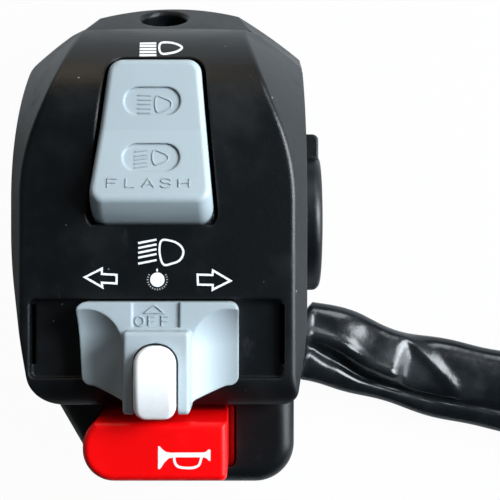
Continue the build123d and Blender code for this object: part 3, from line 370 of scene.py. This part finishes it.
upper_sign = lamp_sign(
    left=-3.28, right=-0.98, rise=0.0, rows=(20.84, 20.07, 19.32, 18.56, 17.8),
    lamp=[(0.0, 20.68), (1.2, 20.38), (2.25, 19.85), (2.45, 19.1),
          (2.05, 18.5), (1.1, 18.12), (0.1, 17.95), (-0.32, 19.3)],
    width=rib_width,
)
lower_sign = lamp_sign(
    left=-3.6, right=-1.3, rise=0.33, rows=(11.08, 10.33, 9.68, 9.0, 8.3),
    lamp=[(-0.32, 11.33), (0.9, 11.0), (1.85, 10.5), (2.08, 9.9),
          (1.7, 9.4), (0.8, 9.05), (-0.15, 8.9), (-0.62, 10.1)],
    width=rib_width,
)
key_word = word("FLASH", -8.0, 5.05, letter_height, letter_pitch, rib_width)

grey_plastic, shader, place = new_finish(
    "grey_key_plastic", IOR=1.46, Subsurface_Weight=0.04, Subsurface_Scale=1.0 * mm)
tone = place.noise(scale=90, detail=2, rough=0.5)
scratch = place.noise(scale=420, detail=4, rough=0.75, stretch=(1, 0.08, 1)).within(0.66, 0.72)
to_mark = place.node("ShaderNodeVectorMath", {"operation": "DISTANCE"},
                     {0: place, 1: sink_mark_place}, "Value")
dent = 1 - to_mark.within(sink_mark_floor, sink_mark_rim)
grain = place.noise(scale=2600, detail=2, rough=0.5)
feed(
    shader,
    Base_Color=blend_colour(tone, key_grey, key_pale),
    Roughness=0.33 + tone * 0.12 + scratch * 0.12,
    Normal=relief(place, grain * 0.12 + scratch * 0.06 - dent * 2.0, key_grain, key_edge),
)
paint(grey_plastic, "rocker_key", "turn_knob")
piece = lay("rocker_signs", upper_sign + lower_sign + key_word, "rocker_key", raised, rooted)
piece.data.materials.append(grey_plastic)
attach(piece, "rocker")

# Turn knob: the same grey plastic, screwed to a carrier that slides in the housing. A
# pointer and the word OFF stand up from the floor of the notch at its top edge.
knob_raised = 0.16
pointer_width = 0.22
off_width = 0.24
off_height = 1.55
off_pitch = 2.15
pointer = [(-1.8, -15.72), (-0.05, -14.45), (1.45, -15.72)]
off_word = word("OFF", -3.3, -17.85, off_height, off_pitch, off_width)
knob_signs = [stroke(pointer, pointer_width, True)] + off_word
piece = lay("knob_signs", knob_signs, "turn_knob", knob_raised, rooted)
piece.data.materials.append(grey_plastic)
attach(piece, "turn_slide")

# Cancel button: a white plastic moulding, smooth from handling, that is guided in the
# knob's slot and held up by a coil spring.
button_white = (0.9, 0.91, 0.92, 1)
button_pale = (0.93, 0.93, 0.93, 1)
button_edge = 0.3 * mm
mould_grain = 0.01 * mm
white_plastic, shader, place = new_finish(
    "white_key_plastic", IOR=1.48, Subsurface_Weight=0.08, Subsurface_Scale=1.0 * mm)
tone = place.noise(scale=140, detail=2, rough=0.5)
grain = place.noise(scale=2200, detail=2, rough=0.5)
feed(
    shader,
    Base_Color=blend_colour(tone, button_white, button_pale),
    Roughness=0.22 + tone * 0.1,
    Normal=relief(place, grain, mould_grain, button_edge),
)
paint(white_plastic, "cancel_button")

# Horn button: a hollow moulding of red plastic, glossier than the grey keys, that slides in
# the housing on a coil spring. A trumpet is printed on it in the same white ink.
horn_red = (0.88, 0.0008, 0.0018, 1)
horn_bright = (0.97, 0.002, 0.003, 1)
horn_grain = 0.03 * mm
trumpet_line = 0.42
bell = [
    (0.56, -41.35), (0.85, -41.35), (1.2, -40.95), (1.65, -40.2), (2.35, -39.6), (3.1, -39.42),
    (8.1, -39.42), (8.55, -39.55), (8.9, -39.98), (9.2, -39.95), (9.2, -38.2), (8.85, -38.12),
    (8.5, -38.5), (8.1, -38.62), (2.6, -38.66), (1.85, -38.52), (1.25, -38.1), (0.85, -37.62),
    (0.56, -37.6),
]
loop = [(3.2, -39.3), (3.35, -40.3), (3.9, -40.95), (5.1, -41.17), (6.5, -41.1), (7.35, -40.6),
        (7.75, -39.3)]
red_plastic, shader, place = new_finish("red_key_plastic", IOR=1.48, Specular_IOR_Level=0.32)
tone = place.noise(scale=110, detail=3, rough=0.6)
scratch = place.noise(scale=380, detail=4, rough=0.75, stretch=(1, 1, 0.1)).within(0.6, 0.72)
grain = place.noise(scale=2400, detail=2, rough=0.5)
feed(
    shader,
    Base_Color=blend_colour(tone, horn_red, horn_bright),
    Roughness=0.26 + tone * 0.08 + scratch * 0.15,
    Normal=relief(place, grain * 0.3 + scratch * 0.1, horn_grain, button_edge),
)
paint(red_plastic, "horn_button")
trumpet = [patch(bell), stroke(arc_points(loop), trumpet_line)]
piece = lay("sign_trumpet", trumpet, "horn_button", ink_proud, ink_sunk)
piece.data.materials.append(ink)
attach(piece, "horn")

# Screws, strap, ball and springs: zinc-plated screws, a strap pressed from sheet, a hard
# bright ball and springs coiled from drawn wire.
steel_dull = (0.5, 0.5, 0.49, 1)
steel_bright = (0.66, 0.66, 0.65, 1)
metal_edge = 0.15 * mm
steel, shader, place = new_finish("bright_steel", Metallic=1.0)
brushed = place.noise(scale=900, detail=3, rough=0.6, stretch=(1, 1, 0.05))
feed(
    shader,
    Base_Color=blend_colour(brushed, steel_dull, steel_bright),
    Roughness=0.24 + brushed * 0.16,
    Normal=relief(place, brushed, mould_grain, metal_edge),
)
paint(steel, "housing_screws", "board_screws", "carrier_screw", "clamp_screws", "cable_clamp",
      "detent_ball", "dimmer_spring", "detent_spring", "cancel_spring", "horn_spring")

# Springs of the horn and the cancel button: they stand on a seat below their button. Here each
# only gets a mesh of its own, and is not shortened with the button's travel.
for name, joint, seat_z, kept in (
    ("horn_spring", "horn_press", 3.8 * mm, 0.65),
    ("cancel_spring", "turn_cancel", 23.6 * mm, 0.58),
):
    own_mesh(nodes[name])

# Rocker pin: a turned steel pin, blackened against rust, that lies across the front shell.
# The beam key tilts on it.
oxide_black = (0.012, 0.012, 0.014, 1)
oxide_worn = (0.03, 0.03, 0.033, 1)
black_steel, shader, place = new_finish("black_steel", Metallic=1.0)
oxide = place.noise(scale=800, detail=3, rough=0.6)
feed(
    shader,
    Base_Color=blend_colour(oxide, oxide_black, oxide_worn),
    Roughness=0.35 + oxide * 0.15,
)
paint(black_steel, "rocker_pin")

# Contacts, studs, inserts and terminals: brass, stamped from strip or turned from rod, and
# a little tarnished.
brass_bright = (0.72, 0.5, 0.2, 1)
brass_tarnished = (0.42, 0.27, 0.1, 1)
brass_edge = 0.12 * mm
brass, shader, place = new_finish("contact_brass", Metallic=1.0)
tarnish = place.noise(scale=500, detail=3, rough=0.6).within(0.35, 0.75)
grain = place.noise(scale=1500, detail=2, rough=0.5)
feed(
    shader,
    Base_Color=blend_colour(tarnish, brass_bright, brass_tarnished),
    Roughness=0.25 + tarnish * 0.2,
    Normal=relief(place, grain, mould_grain, brass_edge),
)
paint(brass, "thread_inserts", "dimmer_pins", "dimmer_bridge", "passing_leaf", "passing_contact",
      "turn_contacts", "turn_wiper", "horn_bridge", "horn_studs", "plug_pins")

# Inner black mouldings: the dimmer switch's block and cap, the turn carrier, the shield
# under the knob and the leaf spacer, in black nylon with the gloss of the mould.
inner_black = (0.02, 0.02, 0.021, 1)
inner_grey = (0.035, 0.035, 0.036, 1)
inner_nylon, shader, place = new_finish("inner_black_nylon", IOR=1.5)
tone = place.noise(scale=300, detail=3, rough=0.6)
grain = place.noise(scale=2500, detail=2, rough=0.5)
feed(
    shader,
    Base_Color=blend_colour(tone, inner_black, inner_grey),
    Roughness=0.4 + tone * 0.15,
    Normal=relief(place, grain, mould_grain, metal_edge),
)
paint(inner_nylon, "dimmer_block", "dimmer_cap", "turn_carrier", "slider_shield", "leaf_spacer")

# Dimmer plunger and plug housing: natural nylon, without a pigment, so it is a little
# yellow and lets some light in.
nylon_cream = (0.66, 0.63, 0.55, 1)
nylon_pale = (0.76, 0.74, 0.67, 1)
natural_nylon, shader, place = new_finish(
    "natural_nylon", IOR=1.5, Subsurface_Weight=0.1, Subsurface_Scale=1.0 * mm)
tone = place.noise(scale=220, detail=3, rough=0.6)
grain = place.noise(scale=1800, detail=2, rough=0.5)
feed(
    shader,
    Base_Color=blend_colour(tone, nylon_cream, nylon_pale),
    Roughness=0.35 + tone * 0.12,
    Normal=relief(place, grain, mould_grain, button_edge),
)
paint(natural_nylon, "dimmer_plunger", "plug_housing")

# Contact boards: brown laminate of paper and resin, punched from sheet. The turn contacts
# and the horn's studs are fixed to them.
laminate_dark = (0.13, 0.055, 0.02, 1)
laminate_pale = (0.27, 0.13, 0.05, 1)
fibre_depth = 0.02 * mm
laminate, shader, place = new_finish("brown_laminate", IOR=1.5)
fibre = place.noise(scale=700, detail=4, rough=0.7, stretch=(1, 0.2, 1))
feed(
    shader,
    Base_Color=blend_colour(fibre, laminate_dark, laminate_pale),
    Roughness=0.35 + fibre * 0.2,
    Normal=relief(place, fibre, fibre_depth),
)
paint(laminate, "turn_board", "horn_base")

# Harness sleeve: soft black vinyl tube, about 11 mm across, that lies flat and folds over
# the wires inside it. It leaves through a round hole in the rear shell and ends at the plug.
vinyl_black = (0.004, 0.0055, 0.007, 1)
vinyl_dull = (0.014, 0.017, 0.019, 1)
vinyl_creases = 0.12 * mm
sleeve_route = [
    (16.0, -23.0, -9.0), (28.5, -23.3, -9.2), (42.5, -28.4, -11.5), (62.5, -33.1, -11.75),
    (92.0, -38.5, -11.75), (124.0, -37.0, -11.75), (153.0, -24.0, -11.75), (172.0, 2.0, -11.75),
    (176.0, 34.0, -11.75), (162.0, 62.0, -11.75), (136.0, 79.0, -11.75), (106.0, 83.0, -11.75),
]
wall_run = 9.6
ring_points = 84
ring_step = 0.7
round_half = 5.15
flat_half = 7.75
flat_low = -5.2
flat_top = 1.7
flat_squareness = 0.18
mouth_fade = (-0.2, 1.6)
end_fade = (16, 3)
end_shrink = 0.9
edge_waves = [(0.35, 6.1, 0), (0.25, 2.9, 1)]
side_shift = 0.4
shift_fade = (4, 16)
skin_lift = 2.2


def route_line(points):
    """Points read along the smooth line that the route's points steer."""
    curve = bpy.data.curves.new("route", "CURVE")
    curve.dimensions = "3D"
    curve.resolution_u = 40
    spline = curve.splines.new("NURBS")
    spline.points.add(len(points) - 1)
    for point, spot in zip(spline.points, points):
        point.co = (*(part * mm for part in spot), 1)
    spline.order_u = 3
    spline.use_endpoint_u = True
    holder = bpy.data.objects.new("route", curve)
    bpy.context.collection.objects.link(holder)
    line = bpy.data.meshes.new_from_object(holder)
    read = [vertex.co.copy() for vertex in line.vertices]
    bpy.data.objects.remove(holder)
    bpy.data.curves.remove(curve)
    bpy.data.meshes.remove(line)
    return read


def even_line(points, step):
    """The same line at even steps: places and the length run so far, in millimetres."""
    runs = [0.0]
    for a, b in zip(points, points[1:]):
        runs.append(runs[-1] + (b - a).length / mm)
    count = int(runs[-1] / step)
    places = []
    k = 0
    for i in range(count + 1):
        run = runs[-1] * i / count
        while k < len(runs) - 2 and runs[k + 1] < run:
            k += 1
        share = (run - runs[k]) / (runs[k + 1] - runs[k])
        places.append((points[k].lerp(points[k + 1], share), run))
    return places


def ease(value, low, high):
    """0 below low, 1 above high, smooth between."""
    t = min(1.0, max(0.0, (value - low) / (high - low)))
    return t * t * (3 - 2 * t)


def along(run, stops):
    """The value at a run, from stops of (run, value)."""
    for (a, low), (b, high) in zip(stops, stops[1:]):
        if run <= b:
            return low + (high - low) * ease(run, a, b)
    return stops[-1][1]


# Folds of the sleeve: its upper skin sags beside the wires, drops over an edge, swells and
# creases. The stops of (run, value) hold for one pitch, and the next pitches vary on it.
fold_pitch = 46.0
fold_wander = 3.0
fold_turn = 2.4
sway_height = 0.5
sway_run = 9
roll_line = [(0, -2.6), (7, -5.0), (15, -5.9), (27, -6.3), (37, -5.6), (46, -5.4)]
edge_line = [(0, 1.6), (20.5, -1.9), (25, -2.4), (46, -2.0)]
drop_line = [(0, 1.7), (19, 1.7), (25, 1.1), (46, 1.1)]
bend_line = [(0, 2.4), (17, 2.4), (25, 1.4), (46, 1.4)]
ridge_line = [(0, 0.8), (14, 1.0), (19, 1.0), (23.5, 0.0), (46, 0.0)]
swell_line = [(0, 0.0), (10, 0.8), (19, 2.2), (22.5, 0.3), (46, 0.0)]
roll_bend = 2.6
roll_lead = 0.3
ridge_spread = 1.35
swell_rise = (-1.5, 1.0)
swell_fall = (1.0, 6.0)
swell_lost = 0.5
crease_from, crease_to = (21, 6.4), (34.5, -3.2)
crease_starts = (-4, 1)
crease_ends = (-3.5, 0.6)
crease_height = 0.55
crease_near, crease_far = 1.1, 2.0


def curl(reach, bend):
    """How far a skin that curls at a bend radius has turned away over a reach."""
    down = min(bend, max(0.0, reach))
    return bend - (bend * bend - down * down) ** 0.5


def fold_height(run, side):
    """How far the sleeve's upper skin stands above or below its plain form."""
    turn = int(max(0.0, run) / fold_pitch)
    local = max(0.0, run - turn * fold_pitch + fold_wander * sin(turn * fold_turn))
    sway = sway_height * sin(run / sway_run) if turn else 0.0
    lines = roll_line, edge_line, drop_line, bend_line, ridge_line, swell_line
    roll, edge, drop, bend, ridge, swell = (along(local, line) for line in lines)
    past = side - edge - sway
    fall = min(drop, curl(-past, bend))
    rise = curl(side - roll - sway + roll_lead, roll_bend)
    height = ridge * exp(-(past / ridge_spread) ** 2) - min(fall, rise)
    height += swell * ease(past, *swell_rise) * (1 - swell_lost * ease(past, *swell_fall))
    (low, low_side), (high, high_side) = crease_from, crease_to
    begun = ease(local, *(low + stop for stop in crease_starts))
    ended = ease(local, *(high + stop for stop in crease_ends))
    past = side - (low_side + (high_side - low_side) * (local - low) / (high - low))
    spread = crease_far if past > 0 else crease_near
    return height + crease_height * begun * (1 - ended) * exp(-(past / spread) ** 2)


def sleeve_ring(run, total):
    """The sleeve's cross section: (side, up) points round it."""
    open_share = ease(run, *(wall_run + stop for stop in mouth_fade))
    shut_share = ease(run, *(total - stop for stop in end_fade))
    flat = open_share * (1 - shut_share)
    sway = sum(height * sin(run / length + lead) for height, length, lead in edge_waves)
    shrink = end_shrink * shut_share
    half = round_half - shrink + (flat_half - round_half + sway) * flat
    top = round_half - shrink + (flat_top - round_half) * flat
    low = -round_half + shrink + (flat_low + round_half) * flat
    middle, tall = (top + low) / 2, (top - low) / 2
    power = 1.0 - flat_squareness * flat
    shift = side_shift * flat * (1 - ease(run, *(wall_run + stop for stop in shift_fade)))
    points = []
    for k in range(ring_points):
        way = 2 * pi * k / ring_points
        c, s = cos(way), sin(way)
        side = half * abs(c) ** power * (1 if c > 0 else -1)
        up = tall * abs(s) ** power * (1 if s > 0 else -1)
        if s > 0:
            up += flat * fold_height(run - wall_run, side) * min(1.0, s * skin_lift)
        points.append((side + shift, middle + up))
    return points


route = route_line(sleeve_route)
steps = even_line(route, ring_step)
total_run = steps[-1][1]
skin = bmesh.new()
rings = []
for i, (here, run) in enumerate(steps):
    ahead = (steps[min(i + 1, len(steps) - 1)][0] - steps[max(i - 1, 0)][0]).normalized()
    left = Vector((-ahead.y, ahead.x, 0)).normalized()
    up = ahead.cross(left)
    ring = [here + (left * side + up * high) * mm for side, high in sleeve_ring(run, total_run)]
    rings.append([skin.verts.new(spot) for spot in ring])
for low_ring, high_ring in zip(rings, rings[1:]):
    for k in range(ring_points):
        n = (k + 1) % ring_points
        skin.faces.new((low_ring[k], low_ring[n], high_ring[n], high_ring[k]))
skin.faces.new(rings[0][::-1])
skin.faces.new(rings[-1])
bmesh.ops.recalc_face_normals(skin, faces=skin.faces)
for face in skin.faces:
    face.smooth = len(face.verts) == 4
data = bpy.data.meshes.new("sleeve_skin")
skin.to_mesh(data)
skin.free()
sleeve_skin = bpy.data.objects.new("sleeve_skin", data)
bpy.context.collection.objects.link(sleeve_skin)
vinyl, shader, place = new_finish("black_vinyl", IOR=1.5, Specular_IOR_Level=0.42)
dull = place.noise(scale=120, detail=3, rough=0.6).within(0.35, 0.75)
wrinkle = place.noise(scale=420, detail=2, rough=0.5)
grain = place.noise(scale=2400, detail=2, rough=0.5)
feed(
    shader,
    Base_Color=blend_colour(dull, vinyl_black, vinyl_dull),
    Roughness=0.19 + dull * 0.1,
    Normal=relief(place, wrinkle * 0.5 + grain * 0.05, vinyl_creases),
)
data.materials.append(vinyl)

# Outer wires: nine stranded copper wires in coloured vinyl. They leave the sleeve's end in
# three rows of three, bow a little and go into the back of the plug.
wire_colours = {
    "black": (0.012, 0.012, 0.012),
    "green": (0.02, 0.2, 0.05),
    "blue": (0.02, 0.09, 0.42),
    "grey": (0.2, 0.2, 0.2),
    "orange": (0.72, 0.18, 0.015),
    "sky": (0.16, 0.45, 0.7),
    "white": (0.74, 0.74, 0.72),
    "brown": (0.14, 0.05, 0.02),
    "yellow": (0.78, 0.56, 0.03),
}
wire_pitch = 2.6
wire_run = 32.0
wire_half = 0.9
bow_aside = 0.8
bow_aside_turn = 2.1
bow_up = 0.5
bow_up_turn = 1.7
worn_gain = 1.3
worn_lift = 0.01
wire_course = [  # share of the run, share of the pitch, share of the bow
    (-0.06, 0.8, 0), (0.15, 0.82, 0.1), (0.5, 0.95, 1), (0.85, 1, 0.1), (1.06, 1, 0),
]
sleeve_end = Vector(sleeve_route[-1])
way_out = (sleeve_end - Vector(sleeve_route[-2])).normalized()
across = Vector((-way_out.y, way_out.x, 0))
for k, (colour_name, colour) in enumerate(wire_colours.items()):
    column, row = k % 3 - 1, k // 3 - 1
    aside = bow_aside * sin(k * bow_aside_turn)
    rise = bow_up * cos(k * bow_up_turn)
    curve = bpy.data.curves.new("wire_" + colour_name, "CURVE")
    curve.dimensions = "3D"
    curve.bevel_depth = wire_half * mm
    curve.bevel_resolution = 4
    spline = curve.splines.new("NURBS")
    spline.points.add(len(wire_course) - 1)
    for point, (share, pull, push) in zip(spline.points, wire_course):
        spot = sleeve_end + way_out * wire_run * share
        spot += across * (column * wire_pitch * pull + aside * push)
        spot.z += row * wire_pitch * pull + rise * push
        point.co = (*(spot * mm), 1)
    spline.order_u = 4
    spline.use_endpoint_u = True
    wire = bpy.data.objects.new("wire_" + colour_name, curve)
    bpy.context.collection.objects.link(wire)
    insulation, shader, place = new_finish(colour_name + "_insulation", IOR=1.5)
    wear = place.noise(scale=600, detail=2, rough=0.5)
    worn_colour = (*(min(1, part * worn_gain + worn_lift) for part in colour), 1)
    feed(
        shader,
        Base_Color=blend_colour(wear, (*colour, 1), worn_colour),
        Roughness=0.34 + wear * 0.12,
    )
    curve.materials.append(insulation)
    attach(wire, "housing")
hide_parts("outer_wires")
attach(sleeve_skin, "housing")
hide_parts("harness_sleeve")
total_run * mm

# Bench: a pale board that the switch lies on with its rear face down. The picture is
# exposed so that the board reads white, and its own tone shows only in reflections.
bench_grey = (0.45, 0.46, 0.47, 1)
bench_pale = (0.49, 0.5, 0.5, 1)
bench_z = -0.01705
bench_half = 1.6
bench_glow = 0.97
bench = bmesh.new()
bmesh.ops.create_grid(bench, x_segments=8, y_segments=8, size=bench_half)
data = bpy.data.meshes.new("bench")
bench.to_mesh(data)
bench.free()
floor = bpy.data.objects.new("bench", data)
floor.location.z = bench_z
bpy.context.collection.objects.link(floor)
floor_finish, shader, place = new_finish("white_bench", Roughness=0.85)
tone = place.noise(scale=3, detail=2, rough=0.5)
feed(shader, Base_Color=blend_colour(tone, bench_grey, bench_pale))
seen = place.node("ShaderNodeLightPath", None, None, "Is Camera Ray")
passed = place.node("ShaderNodeLightPath", None, None, "Is Transmission Ray")
glow = place.node("ShaderNodeEmission", None, {"Color": (1, 1, 1, 1), "Strength": 1.0})
board = Wire(place.tree, shader.outputs[0])
mix = place.node("ShaderNodeMixShader", None, {0: (seen + passed) * bench_glow, 1: board, 2: glow})
place.tree.links.new(mix.socket, place.tree.nodes["Material Output"].inputs["Surface"])
data.materials.append(floor_finish)

# Light: a dim white room, two windows' worth of soft light low on the right, two soft lamps
# behind the switch and a weak one at its left.
room_light = (0.75, 0.8, 0.85, 1)
room_strength = 0.08
lit_spot = Vector((0.01, -0.005, 0.0))
world = bpy.data.worlds.new("studio")
world.use_nodes = True
bpy.context.scene.world = world
sky = Wire(world.node_tree)
seen = sky.node("ShaderNodeLightPath", None, None, "Is Camera Ray")
sky_light = sky.node("ShaderNodeBackground", None, {"Color": room_light, "Strength": room_strength})
sky_seen = sky.node("ShaderNodeBackground", None, {"Color": (1, 1, 1, 1), "Strength": 1.0})
sky_mix = sky.node("ShaderNodeMixShader", None, {0: seen, 1: sky_light, 2: sky_seen})
world.node_tree.links.new(sky_mix.socket, world.node_tree.nodes["World Output"].inputs["Surface"])

for name, spot, size, power, tint in (
    ("window_right", (0.45, 0.0, 0.18), 0.3, 2.2, (0.86, 0.94, 1.0)),
    ("window_high", (0.43, 0.14, 0.36), 0.26, 4.6, (0.88, 0.95, 1.0)),
    ("window_far", (0.2, 0.4, 0.28), 0.16, 0.7, (0.9, 0.96, 1.0)),
    ("lamp_far", (-0.12, 0.45, 0.12), 0.25, 0.3, (1.0, 0.8, 0.58)),
    ("lamp_left", (-0.42, -0.05, 0.12), 0.25, 0.03, (1.0, 0.93, 0.86)),
):
    light = bpy.data.lights.new(name, "AREA")
    light.size = size
    light.energy = power
    light.color = tint
    lamp = bpy.data.objects.new(name, light)
    lamp.location = spot
    lamp.rotation_euler = (lit_spot - Vector(spot)).to_track_quat("-Z", "Y").to_euler()
    bpy.context.collection.objects.link(lamp)

# Camera: held straight above the front face, about 0.2 m from it, and a little off its
# middle so that the sleeve is in the picture.
lens = bpy.data.cameras.new("camera")
lens.sensor_width = 36
lens.lens = 81.36
lens.clip_start = 0.01
camera = bpy.data.objects.new("camera", lens)
camera.location = (0.0157, -0.0053, 0.215)
bpy.context.collection.objects.link(camera)
bpy.context.scene.camera = camera
bpy.context.scene.view_settings.view_transform = "Standard"
